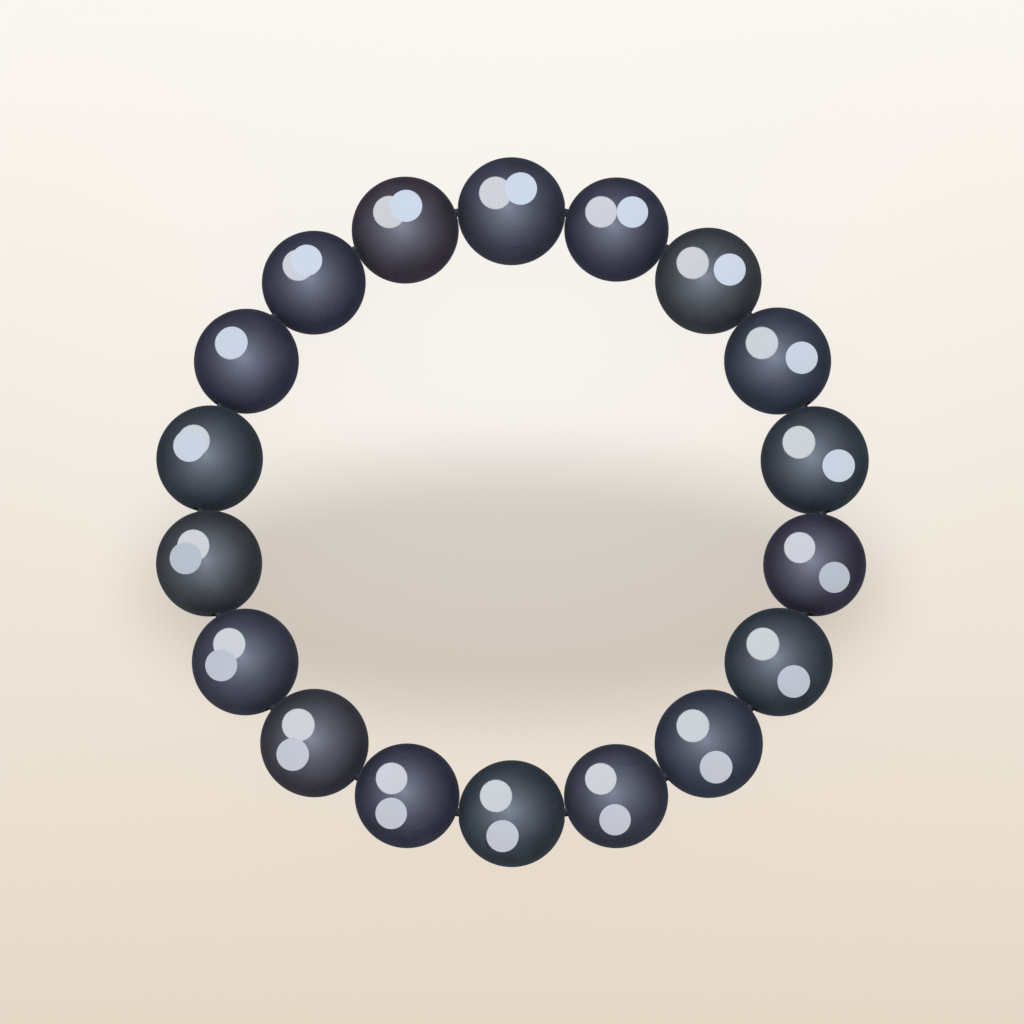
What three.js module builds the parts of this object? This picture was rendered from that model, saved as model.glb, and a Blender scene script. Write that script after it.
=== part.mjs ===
// A stretch bracelet of round drilled stone beads on one elastic thread, lying flat.
// Millimetres, +Z up. The beads stand on z = 0, the middle of the bracelet's outline is at
// x = y = 0, and the first bead is at the far side (+Y). The rest follow clockwise from above.

import * as THREE from 'three';

// Driving dimensions
const BEAD_GAP = 0.02; // between the surfaces of neighbouring beads
const HOLE_RADIUS = 0.6;
const MOUTH_CHAMFER = 0.12; // the broken edge where a hole comes out
const THREAD_RADIUS = 0.4;
const THREAD_PULL = 0.1; // how far the taut thread lies inward of each hole's middle

// How finely the round forms are cut into flats
const BEAD_SIDES = 20; // around a bead's hole, a multiple of 4 so that a corner touches the ground
const BEAD_ARC_STEPS = 12; // from one hole mouth to the other
const THREAD_SIDES = 8;

const BEADS = [
  { diameter: 10.2, tint: 'slate' },
  { diameter: 9.85, tint: 'indigo' },
  { diameter: 10.05, tint: 'moss' },
  { diameter: 10.1, tint: 'navy' },
  { diameter: 10.2, tint: 'teal' },
  { diameter: 9.7, tint: 'violet' },
  { diameter: 10.2, tint: 'teal' },
  { diameter: 10.2, tint: 'navy' },
  { diameter: 9.8, tint: 'slate' },
  { diameter: 10.05, tint: 'teal' },
  { diameter: 9.85, tint: 'indigo' },
  { diameter: 10.2, tint: 'grey' },
  { diameter: 10.05, tint: 'slate' },
  { diameter: 10.0, tint: 'moss' },
  { diameter: 10.05, tint: 'teal' },
  { diameter: 9.9, tint: 'indigo' },
  { diameter: 9.8, tint: 'indigo' },
  { diameter: 10.1, tint: 'plum' },
];

const STONE_COLORS = {
  slate: 0x484c5a,
  indigo: 0x46475a,
  navy: 0x454b59,
  violet: 0x494759,
  teal: 0x435057,
  moss: 0x4a5157,
  grey: 0x4b4c56,
  plum: 0x4c4753,
};

const stones = {};
for (const [tint, color] of Object.entries(STONE_COLORS)) {
  stones[tint] = new THREE.MeshStandardMaterial({ color, roughness: 0.12, metalness: 0 });
}
const elastic = new THREE.MeshStandardMaterial({ color: 0x24262b, roughness: 0.7, metalness: 0 });

/** The angle at the ring's centre between a bead and the next, on a ring of this radius. */
function stepAngle(index, ringRadius) {
  const next = (index + 1) % BEADS.length;
  const reach = (BEADS[index].diameter + BEADS[next].diameter) / 2 + BEAD_GAP;
  return 2 * Math.asin(reach / (2 * ringRadius));
}

/** The radius of the ring of bead centres on which the beads close the whole circle. */
function closedRingRadius() {
  const strand = BEADS.reduce((sum, bead) => sum + bead.diameter + BEAD_GAP, 0);
  let low = strand / (2 * Math.PI);
  let high = low * 1.1;
  for (let halving = 0; halving < 50; halving += 1) {
    const middle = (low + high) / 2;
    const turn = BEADS.reduce((sum, _, index) => sum + stepAngle(index, middle), 0);
    if (turn > 2 * Math.PI) low = middle;
    else high = middle;
  }
  return high;
}

/** Each bead's angle, clockwise from +Y, turned so that the beads stray least from even steps. */
function beadAngles(ringRadius) {
  const angles = [0];
  for (let index = 1; index < BEADS.length; index += 1) {
    angles.push(angles[index - 1] + stepAngle(index - 1, ringRadius));
  }
  const evenStep = (2 * Math.PI) / BEADS.length;
  const stray = angles.reduce((sum, angle, index) => sum + angle - index * evenStep, 0);
  return angles.map((angle) => angle - stray / BEADS.length);
}

/** A point of the ring's plane, by its angle clockwise from +Y. */
function onRing(angle, radius, height) {
  return new THREE.Vector3(radius * Math.sin(angle), radius * Math.cos(angle), height);
}

/** A drilled ball with its hole along Y and a chamfer at both mouths. */
function beadGeometry(radius) {
  const mouthRadius = HOLE_RADIUS + MOUTH_CHAMFER;
  const arcEnd = Math.acos(mouthRadius / radius);
  const holeEnd = radius * Math.sin(arcEnd) - MOUTH_CHAMFER;
  const profile = [new THREE.Vector2(HOLE_RADIUS, -holeEnd)];
  for (let step = 0; step <= BEAD_ARC_STEPS; step += 1) {
    const angle = arcEnd * ((2 * step) / BEAD_ARC_STEPS - 1);
    profile.push(new THREE.Vector2(radius * Math.cos(angle), radius * Math.sin(angle)));
  }
  profile.push(new THREE.Vector2(HOLE_RADIUS, holeEnd));
  profile.push(profile[0].clone());
  return new THREE.LatheGeometry(profile, BEAD_SIDES);
}

/** A bead standing on the ground with its hole along the ring. */
function makeBead(index, angle, ringRadius) {
  const { diameter, tint } = BEADS[index];
  const bead = new THREE.Mesh(beadGeometry(diameter / 2), stones[tint]);
  bead.name = `bead_${String(index + 1).padStart(2, '0')}`;
  bead.position.copy(onRing(angle, ringRadius, diameter / 2));
  bead.rotation.z = -angle - Math.PI / 2;
  return bead;
}

/** The thread's closed run: straight through each bead, bending where two beads meet. */
class ThreadRun extends THREE.Curve {
  constructor(points) {
    super();
    this.points = points;
  }

  getPoint(t, target = new THREE.Vector3()) {
    const count = this.points.length;
    const place = t * count;
    const index = Math.floor(place);
    const next = this.points[(index + 1) % count];
    return target.lerpVectors(this.points[index % count], next, place - index);
  }

  /** Keeps every point of the run, where equal lengths would cut its corners. */
  getUtoTmapping(u) {
    return u;
  }
}

/** The elastic thread, a little inward of the bead centres, from bead to bend and on. */
function makeThread(angles, ringRadius) {
  const threadRing = ringRadius - THREAD_PULL;
  const points = [];
  angles.forEach((angle, index) => {
    const halfStep = stepAngle(index, ringRadius) / 2;
    const height = BEADS[index].diameter / 2;
    const nextHeight = BEADS[(index + 1) % BEADS.length].diameter / 2;
    const bendHeight = (height + nextHeight) / 2;
    points.push(onRing(angle, threadRing, height));
    points.push(onRing(angle + halfStep, threadRing / Math.cos(halfStep), bendHeight));
  });
  const run = new ThreadRun(points);
  const geometry = new THREE.TubeGeometry(run, points.length, THREAD_RADIUS, THREAD_SIDES, true);
  const thread = new THREE.Mesh(geometry, elastic);
  thread.name = 'stretch_thread';
  return thread;
}

const ringRadius = closedRingRadius();
const angles = beadAngles(ringRadius);
const bracelet = new THREE.Group();
angles.forEach((angle, index) => bracelet.add(makeBead(index, angle, ringRadius)));
bracelet.add(makeThread(angles, ringRadius));

// The middle of the outline goes to x = y = 0
const outline = new THREE.Box3().setFromObject(bracelet, true).getCenter(new THREE.Vector3());
bracelet.position.set(-outline.x, -outline.y, 0);

export default bracelet;
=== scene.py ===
"""A stretch bracelet of round polished labradorite beads, lying flat on a pale floor.

Each bead of the frame is replaced by a smooth drilled ball, and the elastic by a smooth thread.
Metres, +Z up. Angles on the ring run clockwise from +Y as seen from above.
"""

import math

import bmesh
import bpy
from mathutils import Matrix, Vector


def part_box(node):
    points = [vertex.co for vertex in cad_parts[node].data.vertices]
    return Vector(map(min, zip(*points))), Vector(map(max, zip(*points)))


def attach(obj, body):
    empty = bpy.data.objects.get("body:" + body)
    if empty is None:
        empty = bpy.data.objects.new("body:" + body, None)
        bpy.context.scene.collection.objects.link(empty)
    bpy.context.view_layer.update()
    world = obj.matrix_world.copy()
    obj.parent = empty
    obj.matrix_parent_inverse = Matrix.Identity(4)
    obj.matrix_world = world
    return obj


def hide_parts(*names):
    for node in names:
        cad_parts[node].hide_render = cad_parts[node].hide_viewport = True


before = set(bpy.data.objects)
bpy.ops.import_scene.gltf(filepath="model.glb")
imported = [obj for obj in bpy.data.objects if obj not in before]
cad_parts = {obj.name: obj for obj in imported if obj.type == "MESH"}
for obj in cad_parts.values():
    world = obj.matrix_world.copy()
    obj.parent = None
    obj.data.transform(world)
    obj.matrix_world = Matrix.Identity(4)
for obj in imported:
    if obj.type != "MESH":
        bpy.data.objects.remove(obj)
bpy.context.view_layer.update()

MM = 0.001
UP = Vector((0, 0, 1))

# The bracelet
BEAD_COUNT = 18
HOLE_RADIUS = 0.6 * MM
MOUTH_ROUNDING = 0.12 * MM
THREAD_RADIUS = 0.4 * MM
THREAD_PULL = 0.1 * MM  # how far the taut thread lies inward of each hole's middle

# How finely the round forms are cut
BEAD_SIDES = 72
BEAD_ARC_STEPS = 48
MOUTH_STEPS = 4
THREAD_SIDES = 16
BEND_SHARE = 0.08  # how much of the way from a bend to the bead's middle its rounding takes
BEND_STEPS = 6

# The view: the camera looks down at the ring from the front through a long lens
VIEW_ELEVATION = math.radians(78.5)
VIEW_WIDTH = 96.3 * MM
VIEW_DISTANCE = 3.0
VIEW_CLIP = (0.01, 100)  # how near and how far the camera sees
SENSOR_WIDTH = 36.0  # in millimetres, as the lens is
TOWARDS_VIEW = Vector((0, -math.cos(VIEW_ELEVATION), math.sin(VIEW_ELEVATION)))
VIEW_RIGHT = Vector((1, 0, 0))
VIEW_UP = TOWARDS_VIEW.cross(VIEW_RIGHT)

# The painted highlight of each stone, a pale disc for its flash, in parts of the bead's radius as
# seen along TOWARDS_VIEW.
# It turns with the bead round the ring.
PAINTED_HIGHLIGHT_OFFSET = 0.445
PAINTED_HIGHLIGHT_RADIUS = 0.30
PAINTED_HIGHLIGHT_TURN = math.radians(22.7)
PAINTED_HIGHLIGHT_EDGE = 0.001

# Colours of the stone and of its painted highlight, the flash (sRGB)
TINTS = {
    "slate": "303241",
    "indigo": "2d2d40",
    "navy": "2a3140",
    "violet": "2f2b3d",
    "teal": "29333b",
    "moss": "32373b",
    "grey": "33323b",
    "plum": "332c37",
}
PAINTED_HIGHLIGHTS = {
    "sky": "cfdaec",
    "pearl": "cbd5e4",
    "mist": "c5cad7",
    "haze": "c0c6d4",
    "smoke": "b9c2cf",
}
LAYER_COLOR = "5c6a8c"
# The layers as they show in the painted highlight
PAINTED_HIGHLIGHT_LAYER_COLOR = "9fb4dc"
NEEDLE_COLOR = "0d0e12"

BEADS = [
    # tint, painted highlight
    ("slate", "sky"),
    ("indigo", "sky"),
    ("moss", "sky"),
    ("navy", "pearl"),
    ("teal", "pearl"),
    ("violet", "smoke"),
    ("teal", "haze"),
    ("navy", "mist"),
    ("slate", "mist"),
    ("teal", "mist"),
    ("indigo", "mist"),
    ("grey", "mist"),
    ("slate", "haze"),
    ("moss", "smoke"),
    ("teal", "pearl"),
    ("indigo", "pearl"),
    ("indigo", "sky"),
    ("plum", "sky"),
]

# The rock's patterns, laid out in bead radii. Each bead is cut from another spot of the rock,
# at another angle. A range holds the noise values at which a pattern starts and is full.
ROCK_STEP = Vector((3.1, 5.3, 7.9))
ROCK_TURN = Vector((0.7, 1.9, 1.3))
CLOUDS = {"Scale": 1.5, "Detail": 4}
CLOUD_RANGE = (0.3, 0.7)
LAYERS = {"Scale": 4.2, "Distortion": 0.9, "Detail": 3.0, "Detail Scale": 1.4}
LAYER_RANGE = (0.55, 1.0)
LAYER_PATCHES = {"Scale": 1.9, "Detail": 1}
LAYER_PATCH_RANGE = (0.48, 0.64)
LAYER_PATCH_SHIFT = (7, 7, 7)
NEEDLES = {"Scale": 1.0, "Detail": 0}
NEEDLE_RANGE = (0.73, 0.79)
NEEDLE_STRETCH = (21, 21, 2.2)
WEAR = {"Scale": 5.0, "Detail": 3}
WEAR_RANGE = (0.35, 0.7)
WEAR_SHIFT = (3, 3, 3)

# How strongly they show. A clouding is the brightness where the clouds are dark and bright.
STONE_CLOUDING = (0.82, 1.18)
# The clouding of the painted highlight
PAINTED_HIGHLIGHT_CLOUDING = (0.99, 1.01)
LAYER_STRENGTH = 0.04
NEEDLE_STRENGTH = 0.4

# The stone's surface. The polish is least and most worn at the two ends of its range. None
# reaches the hole and, by the drilled share, its mouths' rounding.
STONE_IOR = 1.56
STONE_SPECULAR = 0.5
POLISH_ROUGHNESS = (0.05, 0.075)
POLISH_DEPTH = 0.0004 * MM
NEEDLE_ROUGHNESS = 0.03
DRILLED_ROUGHNESS = 0.6
# The hole's colour is darkened by this factor: painted shade in the hole
HOLE_SHADE_BRIGHTNESS = 0.6
DRILLED_SHARE = 0.6

# The elastic: its strands, and how often they twist round it in the whole run.
# The pairs are for the grooves between the strands and for their ridges; the darker groove colour
# is painted shade.
THREAD_STRANDS = 10
THREAD_TWISTS = 45
THREAD_COLORS = ("0d0e11", "1c1e23")
THREAD_ROUGHNESS = (0.85, 0.6)
THREAD_SPECULAR = 0.2
THREAD_GROOVE = THREAD_RADIUS / 10
THREAD_BUMP = 0.6

# Light: a glow overhead and a round softbox, both to the back left as seen from the view,
# and a faint even light from all round.
# The softbox is placed and sized by the disc that a polished ball shows of it, in radii.
LIGHT_TURN = math.radians(-41.4)
GLOW_OFF_VIEW = math.radians(11)
GLOW_SPREAD = math.radians(137)
GLOW_POWER = 2.36
GLOW_PEAK = 4.45
GLOW_ALL_ROUND = 0.067
GLOW_COLOR = (0.903, 1, 1.25, 1)
SOFTBOX_OFFSET = 0.446
SOFTBOX_RADIUS = 0.30
SOFTBOX_EDGE = 0.006
SOFTBOX_STRENGTH = 12.74
SOFTBOX_COLOR = (0.962, 1, 1.06, 1)
SOFTBOX_FADE = 1.35
SOFTBOX_FADE_POWER = 6
WHITE = (1, 1, 1, 1)

# The floor: its glow is the share of its brightness that no shadow takes away, which is
# small only in the spot where a bead touches it
FLOOR_HALF_SIZE = 3.0
OPEN_GLOW = 0.94
CONTACT_GLOW = 0.3
CONTACT_REACH = 4.4 * MM
FLOOR_BACK = "fbf7f0"
FLOOR_FRONT = "e6d8c7"
FLOOR_FRONT_REACH = (0.1, 0.45)  # how far out the front's colour starts to fade, and is gone
POOL_COLOR = "fbf9f4"
POOL_CENTRE = Vector((0, 18.5, 0)) * MM
POOL_RADIUS = 56 * MM
POOL_STRENGTH = 0.65
SHADE_COLOR = (0.73, 0.71, 0.70, 1)
SHADE_CENTRE = Vector((0, -6.3, 0)) * MM
SHADE_HALF_SIZE = (34 * MM, 12.6 * MM)
SHADE_EDGE = 5.9 * MM


def linear(code):
    """An sRGB hex colour as the linear colour that sockets take."""
    values = [int(code[i : i + 2], 16) / 255 for i in (0, 2, 4)]
    return (*[v / 12.92 if v < 0.04045 else ((v + 0.055) / 1.055) ** 2.4 for v in values], 1.0)


def brighter(color, factor):
    return (*[value * factor for value in color[:3]], 1.0)


def from_view(off, turn):
    """The direction at this angle off TOWARDS_VIEW, turned clockwise from VIEW_UP."""
    out = VIEW_RIGHT * math.sin(turn) + VIEW_UP * math.cos(turn)
    return TOWARDS_VIEW * math.cos(off) + out * math.sin(off)


# ---------------------------------------------------------------- the ring, from the frame


def bead_name(index):
    return f"bead_{index + 1:02d}"


def bead_centre(index):
    low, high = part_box(bead_name(index))
    return (Vector(low) + Vector(high)) / 2


def bead_radius(index):
    low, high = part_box(bead_name(index))
    return (high[2] - low[2]) / 2


def circle_centre(a, b, c):
    """The centre of the circle through three points, seen from above."""
    ab, ac = (b - a).to_2d(), (c - a).to_2d()
    twice_area = 2 * (ab.x * ac.y - ab.y * ac.x)
    x = (ac.y * ab.length_squared - ab.y * ac.length_squared) / twice_area
    y = (ab.x * ac.length_squared - ac.x * ab.length_squared) / twice_area
    return Vector((a.x + x, a.y + y, 0))


CENTRES = [bead_centre(i) for i in range(BEAD_COUNT)]
RADII = [bead_radius(i) for i in range(BEAD_COUNT)]
RING_CENTRE = circle_centre(*CENTRES[:: BEAD_COUNT // 3])
RING_RADIUS = (CENTRES[0] - RING_CENTRE).to_2d().length
MEAN_HEIGHT = sum(RADII) / BEAD_COUNT


def ring_angle(index):
    out = CENTRES[index] - RING_CENTRE
    return math.atan2(out.x, out.y)


def on_ring(angle, radius, height):
    return RING_CENTRE + Vector((radius * math.sin(angle), radius * math.cos(angle), height))


def along_ring(angle):
    """The level direction that a hole has at this angle."""
    return Vector((math.cos(angle), -math.sin(angle), 0))


# ---------------------------------------------------------------- shapes


def new_object(name, data, location=(0, 0, 0)):
    obj = bpy.data.objects.new(name, data)
    obj.location = location
    bpy.context.scene.collection.objects.link(obj)
    return obj


def finished_mesh(bm, name):
    """The mesh of a bmesh, smooth all over, with its faces pointing out."""
    bmesh.ops.recalc_face_normals(bm, faces=bm.faces)
    for face in bm.faces:
        face.smooth = True
    mesh = bpy.data.meshes.new(name)
    bm.to_mesh(mesh)
    bm.free()
    return mesh


def add_loop(bm, centre, across, radius, sides):
    """A circle of points round a centre, in the plane of the direction across and of UP."""
    points = []
    for side in range(sides):
        turn = math.tau * side / sides
        direction = across * math.cos(turn) + UP * math.sin(turn)
        points.append(bm.verts.new(centre + direction * radius))
    return points


def join_loops(bm, loops):
    """The faces that join each loop of points to the next, and the last to the first."""
    faces = []
    for lower, upper in zip(loops, loops[1:] + loops[:1]):
        for side in range(len(lower)):
            after = (side + 1) % len(lower)
            faces.append(bm.faces.new((lower[side], upper[side], upper[after], lower[after])))
    return faces


def bead_profile(radius):
    """Half of a drilled ball's section as (distance from the hole's axis, place along it)."""
    mouth = HOLE_RADIUS + MOUTH_ROUNDING
    end = math.acos(mouth / radius)
    arc = []
    for i in range(BEAD_ARC_STEPS + 1):
        angle = end * (2 * i / BEAD_ARC_STEPS - 1)
        arc.append((radius * math.cos(angle), radius * math.sin(angle)))
    top = radius * math.sin(end)
    rounding = []
    for i in range(1, MOUTH_STEPS + 1):
        turn = math.pi / 2 * i / MOUTH_STEPS
        out = mouth - MOUTH_ROUNDING * math.sin(turn)
        rounding.append((out, top - MOUTH_ROUNDING * (1 - math.cos(turn))))
    return [(out, -along) for out, along in reversed(rounding)] + arc + rounding


def bead_mesh(name, radius, angle):
    """A ball round the mesh's origin, with its hole along the ring at this angle."""
    along = along_ring(angle)
    out = Vector((math.sin(angle), math.cos(angle), 0))
    bm = bmesh.new()
    loops = []
    for distance, place in bead_profile(radius):
        loops.append(add_loop(bm, along * place, out, distance, BEAD_SIDES))
    join_loops(bm, loops)
    return finished_mesh(bm, name)


def thread_path():
    """The closed run: straight through each bead, with a small round bend between beads."""
    thread_ring = RING_RADIUS - THREAD_PULL
    path = []
    for index in range(BEAD_COUNT):
        after = (index + 1) % BEAD_COUNT
        here = ring_angle(index)
        half_step = ((ring_angle(after) - here) % math.tau) / 2
        bend_height = (RADII[index] + RADII[after]) / 2
        bend = on_ring(here + half_step, thread_ring / math.cos(half_step), bend_height)
        start = bend.lerp(on_ring(here, thread_ring, RADII[index]), BEND_SHARE)
        end = bend.lerp(on_ring(here + 2 * half_step, thread_ring, RADII[after]), BEND_SHARE)
        for step in range(BEND_STEPS + 1):
            t = step / BEND_STEPS
            path.append(start.lerp(bend, t).lerp(bend.lerp(end, t), t))
    return path


def thread_mesh(name):
    """A tube along the run, mapped with turns of the run as U and turns of the tube as V."""
    path = thread_path()
    bm = bmesh.new()
    run_map = bm.loops.layers.uv.new("run")
    loops = []
    for i, point in enumerate(path):
        along = (path[(i + 1) % len(path)] - path[i - 1]).normalized()
        loops.append(add_loop(bm, point, along.cross(UP), THREAD_RADIUS, THREAD_SIDES))
    for number, face in enumerate(join_loops(bm, loops)):
        i, side = divmod(number, THREAD_SIDES)
        places = [(i, side), (i + 1, side), (i + 1, side + 1), (i, side + 1)]
        for corner, (u, v) in zip(face.loops, places):
            corner[run_map].uv = (u / len(path), v / THREAD_SIDES)
    return finished_mesh(bm, name)


# ---------------------------------------------------------------- materials


class Nodes:
    """A short way to add nodes to a tree: add gives the new node, and most calls its output."""

    def __init__(self, tree):
        self.tree = tree
        tree.nodes.clear()

    def add(self, kind, inputs=(), **settings):
        node = self.tree.nodes.new(kind)
        for key, value in settings.items():
            setattr(node, key, value)
        for key, value in dict(inputs).items():
            if isinstance(value, bpy.types.NodeSocket):
                self.tree.links.new(value, node.inputs[key])
            else:
                node.inputs[key].default_value = value
        return node

    def math(self, operation, a, b=0.0):
        return self.add("ShaderNodeMath", {0: a, 1: b}, operation=operation).outputs[0]

    def vector(self, operation, a, b=(0, 0, 0)):
        node = self.add("ShaderNodeVectorMath", {0: a, 1: b}, operation=operation)
        name = "Value" if operation in ("LENGTH", "DOT_PRODUCT") else "Vector"
        return node.outputs[name]

    def ramp(self, value, low, high, to_low=0.0, to_high=1.0, smooth=True):
        node = self.add(
            "ShaderNodeMapRange",
            {"Value": value, 1: low, 2: high, 3: to_low, 4: to_high},
            interpolation_type="SMOOTHSTEP" if smooth else "LINEAR",
        )
        return node.outputs[0]

    def mix(self, factor, a, b, blend="MIX"):
        sockets = {0: factor, 6: a, 7: b}
        node = self.add("ShaderNodeMix", sockets, data_type="RGBA", blend_type=blend)
        return node.outputs[2]

    def noise(self, place, settings):
        return self.add("ShaderNodeTexNoise", {"Vector": place, **settings}).outputs["Fac"]

    def object_place(self):
        return self.add("ShaderNodeTexCoord").outputs["Object"]

    def seen_distance(self, place, middle):
        """How far a place is from the middle, as seen along TOWARDS_VIEW."""
        from_middle = self.vector("SUBTRACT", place, middle)
        return self.vector("LENGTH", self.vector("CROSS_PRODUCT", from_middle, TOWARDS_VIEW))

    def bump(self, height, distance, strength):
        inputs = {"Height": height, "Distance": distance, "Strength": strength}
        return self.add("ShaderNodeBump", inputs).outputs[0]

    def background(self, color, strength):
        inputs = {"Color": color, "Strength": strength}
        return self.add("ShaderNodeBackground", inputs).outputs[0]

    def mix_shader(self, factor, a, b):
        return self.add("ShaderNodeMixShader", {0: factor, 1: a, 2: b}).outputs[0]

    def principled(self, inputs):
        """Ends a material with a Principled shader."""
        shader = self.add("ShaderNodeBsdfPrincipled", inputs)
        self.add("ShaderNodeOutputMaterial", {"Surface": shader.outputs[0]})


def new_material(name):
    material = bpy.data.materials.new(name)
    material.use_nodes = True
    return material, Nodes(material.node_tree)


def rock_patterns(n, index, in_radii):
    """The clouds, layers and needles in this bead, from 0 to 1, and the noise of its wear."""
    spot = {
        "Vector": in_radii,
        "Location": ROCK_STEP * index,
        "Rotation": ROCK_TURN * (index + 1),
    }
    rock = n.add("ShaderNodeMapping", spot).outputs[0]
    clouds = n.ramp(n.noise(rock, CLOUDS), *CLOUD_RANGE)

    from_patches = n.vector("ADD", rock, LAYER_PATCH_SHIFT)
    patches = n.ramp(n.noise(from_patches, LAYER_PATCHES), *LAYER_PATCH_RANGE)
    waves = n.add("ShaderNodeTexWave", {"Vector": rock, **LAYERS}).outputs["Fac"]
    layers = n.math("MULTIPLY", n.ramp(waves, *LAYER_RANGE), patches)

    stretched = n.vector("MULTIPLY", rock, NEEDLE_STRETCH)
    needles = n.ramp(n.noise(stretched, NEEDLES), *NEEDLE_RANGE)
    wear = n.noise(n.vector("ADD", rock, WEAR_SHIFT), WEAR)
    return clouds, layers, needles, wear


def painted_highlight_mask(n, in_radii, angle):
    """1 on the disc of the painted highlight, the stone's flash, on the side of the bead that
    faces the view.
    """
    across = n.seen_distance(in_radii, from_view(math.pi / 2, angle + PAINTED_HIGHLIGHT_TURN) * PAINTED_HIGHLIGHT_OFFSET)
    disc = n.ramp(across, PAINTED_HIGHLIGHT_RADIUS - PAINTED_HIGHLIGHT_EDGE, PAINTED_HIGHLIGHT_RADIUS + PAINTED_HIGHLIGHT_EDGE, 1.0, 0.0)
    facing = n.math("GREATER_THAN", n.vector("DOT_PRODUCT", in_radii, TOWARDS_VIEW), 0.0)
    return n.math("MULTIPLY", disc, facing)


def drilled_and_shaded_mask(n, place, angle):
    """1 in the hole and on the inner part of its rounded mouths, which no polish reaches, and
    where the colour is darkened as painted shade.
    """
    from_axis = n.vector("LENGTH", n.vector("CROSS_PRODUCT", place, along_ring(angle)))
    full, gone = (HOLE_RADIUS + share * MOUTH_ROUNDING for share in (DRILLED_SHARE, 1.0))
    return n.ramp(from_axis, full, gone, 1.0, 0.0)


def clouded(n, clouds, color, clouding):
    """A colour, darker and brighter by the clouds."""
    dark, bright = (brighter(color, factor) for factor in clouding)
    return n.mix(clouds, dark, bright)


def overlaid(n, pattern, strength, color, code):
    """A colour with another faintly over it where the pattern is."""
    return n.mix(n.math("MULTIPLY", pattern, strength), color, linear(code))


def labradorite(index):
    """Dark polished stone with a painted highlight, a pale disc of flash, on the side that faces
    up, and painted shade in its hole.

    Inside the stone are clouds, patches of fine parallel layers, and thin dark needles.
    """
    tint_name, highlight_name = BEADS[index]
    tint, highlight = linear(TINTS[tint_name]), linear(PAINTED_HIGHLIGHTS[highlight_name])
    material, n = new_material(f"labradorite_{index + 1:02d}")
    place, angle = n.object_place(), ring_angle(index)
    in_radii = n.vector("MULTIPLY", place, [1 / RADII[index]] * 3)
    clouds, layers, needles, wear = rock_patterns(n, index, in_radii)
    painted_highlight, drilled_and_shaded = painted_highlight_mask(n, in_radii, angle), drilled_and_shaded_mask(n, place, angle)

    stone = clouded(n, clouds, tint, STONE_CLOUDING)
    stone = overlaid(n, layers, LAYER_STRENGTH, stone, LAYER_COLOR)
    stone = overlaid(n, needles, NEEDLE_STRENGTH, stone, NEEDLE_COLOR)
    painted_highlight_color = clouded(n, clouds, highlight, PAINTED_HIGHLIGHT_CLOUDING)
    painted_highlight_color = overlaid(n, layers, LAYER_STRENGTH, painted_highlight_color, PAINTED_HIGHLIGHT_LAYER_COLOR)
    # The pale disc is a painted highlight, and the darker colour in the hole is painted shade
    color = n.mix(drilled_and_shaded, n.mix(painted_highlight, stone, painted_highlight_color), brighter(tint, HOLE_SHADE_BRIGHTNESS))

    # Neither the painted highlight nor what the drill left mirrors the lights
    dull = n.math("MULTIPLY", n.math("MAXIMUM", painted_highlight, drilled_and_shaded), STONE_SPECULAR)
    worn = n.ramp(wear, *WEAR_RANGE, *POLISH_ROUGHNESS)
    polish = n.math("ADD", worn, n.math("MULTIPLY", needles, NEEDLE_ROUGHNESS))
    n.principled(
        {
            "Base Color": color,
            "Roughness": n.math("MAXIMUM", polish, n.math("MULTIPLY", drilled_and_shaded, DRILLED_ROUGHNESS)),
            "IOR": STONE_IOR,
            "Specular IOR Level": n.math("SUBTRACT", STONE_SPECULAR, dull),
            "Normal": n.bump(wear, POLISH_DEPTH, 1.0),
        }
    )
    return material


def elastic():
    """Dark elastic of fine rubber strands laid side by side with a slow twist."""
    material, n = new_material("elastic_thread")
    run = n.add("ShaderNodeSeparateXYZ", {0: n.add("ShaderNodeUVMap", uv_map="run").outputs[0]})
    twisted = n.math("MULTIPLY", run.outputs["X"], THREAD_TWISTS)
    phase = n.math("ADD", twisted, n.math("MULTIPLY", run.outputs["Y"], THREAD_STRANDS))
    ridge = n.ramp(n.math("SINE", n.math("MULTIPLY", phase, math.tau)), -1.0, 1.0)
    n.principled(
        {
            # Darker in the grooves between the strands: painted shade
            "Base Color": n.mix(ridge, *(linear(code) for code in THREAD_COLORS)),
            "Roughness": n.ramp(ridge, 0.0, 1.0, *THREAD_ROUGHNESS),
            "Specular IOR Level": THREAD_SPECULAR,
            "Normal": n.bump(ridge, THREAD_GROOVE, THREAD_BUMP),
        }
    )
    return material


# ---------------------------------------------------------------- stage, light and camera


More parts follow.
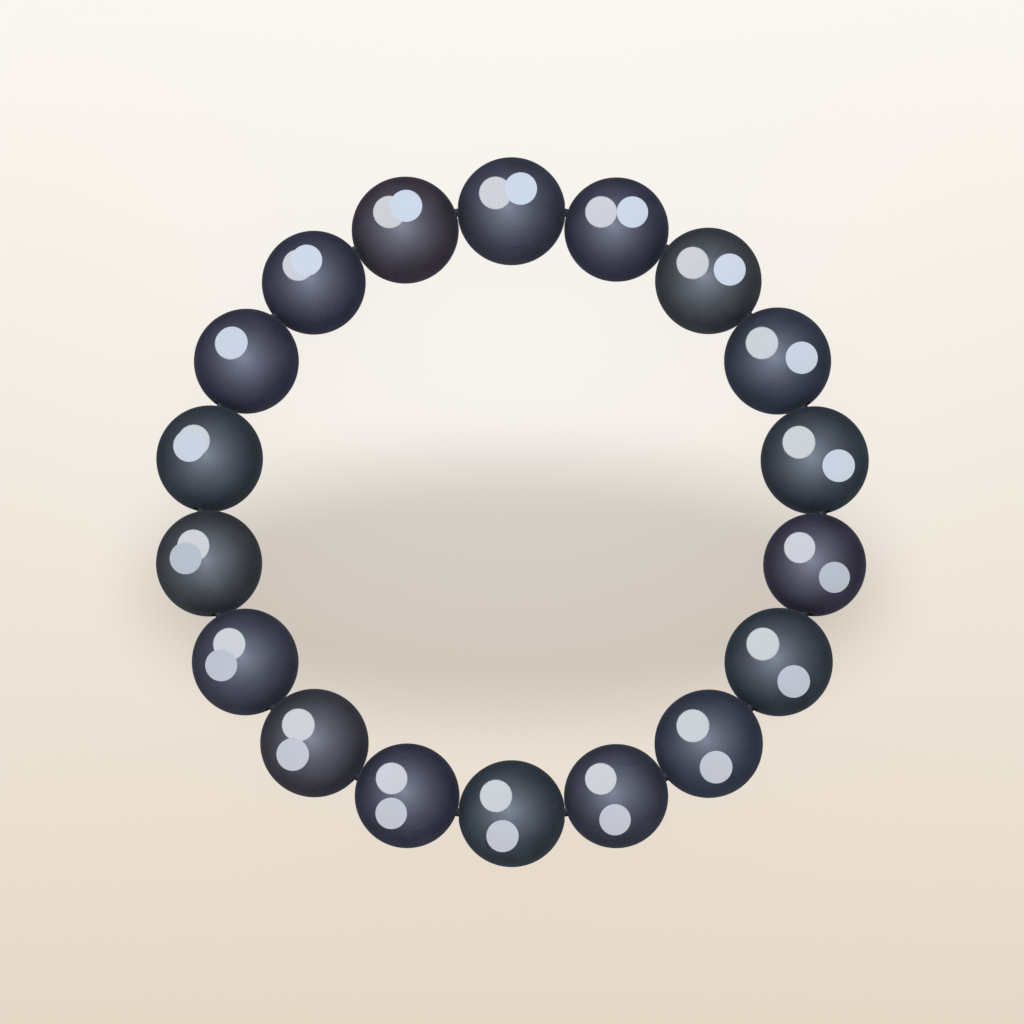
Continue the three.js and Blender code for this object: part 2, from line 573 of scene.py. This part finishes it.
def floor_color(n):
    """Cream at the back and beige at the front, with a pool of light and a soft shade."""
    place = n.object_place()
    towards_front = n.vector("DOT_PRODUCT", place, (0, -1, 0))
    beige = n.ramp(towards_front, -VIEW_WIDTH / 2, VIEW_WIDTH / 2, smooth=False)
    near = n.ramp(n.vector("LENGTH", place), *FLOOR_FRONT_REACH, 1.0, 0.0)
    color = n.mix(n.math("MULTIPLY", beige, near), linear(FLOOR_BACK), linear(FLOOR_FRONT))

    from_pool = n.vector("LENGTH", n.vector("SUBTRACT", place, POOL_CENTRE))
    pool = n.ramp(from_pool, 0.0, POOL_RADIUS, POOL_STRENGTH, 0.0)
    color = n.mix(pool, color, linear(POOL_COLOR))

    # The shade is an ellipse with an even soft edge: its distance is k1 (k1 - 1) / k2
    from_shade = n.vector("SUBTRACT", place, SHADE_CENTRE)
    wide, deep = SHADE_HALF_SIZE
    k1 = n.vector("LENGTH", n.vector("MULTIPLY", from_shade, (1 / wide, 1 / deep, 0)))
    k2 = n.vector("LENGTH", n.vector("MULTIPLY", from_shade, (1 / wide**2, 1 / deep**2, 0)))
    outside = n.math("DIVIDE", n.math("MULTIPLY", k1, n.math("SUBTRACT", k1, 1.0)), k2)
    shade = n.ramp(outside, -SHADE_EDGE, SHADE_EDGE, 1.0, 0.0)
    return n.mix(shade, color, SHADE_COLOR, blend="MULTIPLY")


def from_contact(n):
    """How far a place of the floor is from the nearest of the beads' contacts, evenly spaced."""
    from_centre = n.vector("SUBTRACT", n.object_place(), RING_CENTRE)
    off_ring = n.math("SUBTRACT", n.vector("LENGTH", from_centre), RING_RADIUS)
    axes = n.add("ShaderNodeSeparateXYZ", {0: from_centre}).outputs
    angle = n.math("ARCTAN2", axes["X"], axes["Y"])
    off_bead = n.math("MULTIPLY", n.math("PINGPONG", angle, math.pi / BEAD_COUNT), RING_RADIUS)
    off_both = n.add("ShaderNodeCombineXYZ", {"X": off_ring, "Y": off_bead}).outputs[0]
    return n.vector("LENGTH", off_both)


def make_floor():
    bm = bmesh.new()
    bmesh.ops.create_grid(bm, x_segments=1, y_segments=1, size=FLOOR_HALF_SIZE)
    mesh = bpy.data.meshes.new("floor")
    bm.to_mesh(mesh)
    bm.free()
    floor = new_object("floor", mesh)
    material, n = new_material("pale_floor")
    color = floor_color(n)
    share = n.ramp(from_contact(n), 0.0, CONTACT_REACH, CONTACT_GLOW, OPEN_GLOW)
    matt = n.add("ShaderNodeBsdfDiffuse", {"Color": color}).outputs[0]
    glowing = n.add("ShaderNodeEmission", {"Color": color, "Strength": 1.0}).outputs[0]
    n.add("ShaderNodeOutputMaterial", {"Surface": n.mix_shader(share, matt, glowing)})
    mesh.materials.append(material)
    floor.visible_glossy = False


def polish_sky(n, direction):
    """What the polish reflects: the overhead glow and the softbox."""
    glow_middle = from_view(GLOW_OFF_VIEW, LIGHT_TURN)
    off_middle = n.math("ARCCOSINE", n.vector("DOT_PRODUCT", direction, glow_middle))
    glow = n.ramp(off_middle, 0.0, GLOW_SPREAD, 1.0, 0.0, smooth=False)
    glow = n.math("MULTIPLY", n.math("POWER", glow, GLOW_POWER), GLOW_PEAK)
    glow = n.math("ADD", glow, GLOW_ALL_ROUND)

    # A ball's surface that shows this direction along TOWARDS_VIEW faces halfway between them
    halfway = n.vector("NORMALIZE", n.vector("ADD", direction, TOWARDS_VIEW))
    across = n.seen_distance(halfway, from_view(math.pi / 2, LIGHT_TURN) * SOFTBOX_OFFSET)
    low, high = SOFTBOX_RADIUS - SOFTBOX_EDGE, SOFTBOX_RADIUS + SOFTBOX_EDGE
    disc = n.ramp(across, low, high, 1.0, 0.0)

    # The softbox is dimmer where a ball reflects more, so that its disc is even
    from_middle = n.seen_distance(halfway, (0, 0, 0))
    dimmer = n.math("MULTIPLY", n.math("POWER", from_middle, SOFTBOX_FADE_POWER), SOFTBOX_FADE)
    even = n.math("MULTIPLY", n.math("SUBTRACT", 1.0, dimmer), SOFTBOX_STRENGTH)
    glow_sky = n.background(GLOW_COLOR, glow)
    return n.mix_shader(disc, glow_sky, n.background(SOFTBOX_COLOR, even))


def make_world():
    """Pale behind the floor, an even dome for the light, and the polish's own sky."""
    world = bpy.data.worlds.new("studio")
    bpy.context.scene.world = world
    world.use_nodes = True
    n = Nodes(world.node_tree)
    direction = n.vector("NORMALIZE", n.add("ShaderNodeTexCoord").outputs["Generated"])
    ray = n.add("ShaderNodeLightPath").outputs
    dome, back = n.background(WHITE, 1.0), n.background(linear(FLOOR_BACK), 1.0)
    light = n.mix_shader(ray["Is Glossy Ray"], dome, polish_sky(n, direction))
    seen = n.mix_shader(ray["Is Camera Ray"], light, back)
    n.add("ShaderNodeOutputWorld", {"Surface": seen})


def make_camera():
    data = bpy.data.cameras.new("camera")
    data.sensor_width = SENSOR_WIDTH
    data.lens = SENSOR_WIDTH * VIEW_DISTANCE / VIEW_WIDTH
    data.clip_start, data.clip_end = VIEW_CLIP
    target = RING_CENTRE + UP * MEAN_HEIGHT
    camera = new_object("camera", data, target + TOWARDS_VIEW * VIEW_DISTANCE)
    camera.rotation_euler = (math.pi / 2 - VIEW_ELEVATION, 0, 0)
    bpy.context.scene.camera = camera


# ---------------------------------------------------------------- putting it together


def stand_for(piece, node):
    """Puts a piece in place of a CAD node. The pieces don't mirror each other."""
    piece.visible_glossy = False
    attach(piece, "root")
    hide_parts(node)


def make_bead(index):
    name = bead_name(index)
    mesh = bead_mesh(f"{name}_stone", RADII[index], ring_angle(index))
    mesh.materials.append(labradorite(index))
    stand_for(new_object(f"{name}_stone", mesh, CENTRES[index]), name)


def make_thread():
    mesh = thread_mesh("stretch_thread_round")
    mesh.materials.append(elastic())
    stand_for(new_object("stretch_thread_round", mesh), "stretch_thread")


make_camera()
make_world()
make_floor()
for bead_index in range(BEAD_COUNT):
    make_bead(bead_index)
make_thread()

bpy.context.scene.view_settings.view_transform = "Standard"
